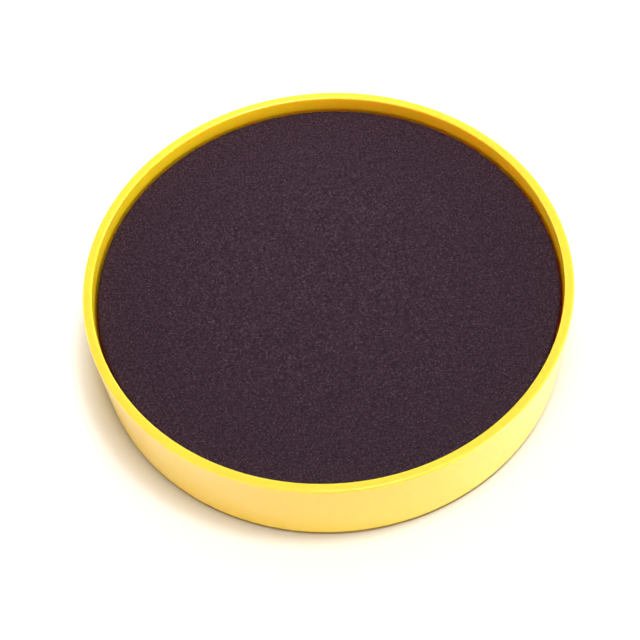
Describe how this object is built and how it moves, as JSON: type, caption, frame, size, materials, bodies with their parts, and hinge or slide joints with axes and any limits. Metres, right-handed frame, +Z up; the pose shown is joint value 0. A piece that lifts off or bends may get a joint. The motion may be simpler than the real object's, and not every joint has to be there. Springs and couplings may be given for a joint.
{
  "type": "polishing pad",
  "caption": "Round fine-cell foam polishing pad with a loop backing, lying loose in a shallow moulded tray whose rim stands above its face.",
  "frame": {"origin": "middle of the foot ring, on the surface that the tray stands on", "axes": "+Z up, out of the pad's working face, along the axis that the tray and the pad are round about"},
  "size_m": [0.105, 0.105, 0.0205],
  "materials": {
    "moulded_plastic": "injection moulded, smooth semi-gloss",
    "loop_fabric": "brushed knitted loop",
    "adhesive": "thin hot-melt film",
    "foam": "matt fine-cell polyurethane foam"
  },
  "bodies": {
    "tray": {"tray": "moulded_plastic"},
    "pad": {"loop_backing": "loop_fabric", "bond_film": "adhesive", "foam_pad": "foam"}
  },
  "joints": [
    {"name": "pad_lift", "type": "slide", "parent": "tray", "child": "pad", "axis": [0, 0, 1], "range_m": [0, 0.03]}
  ]
}
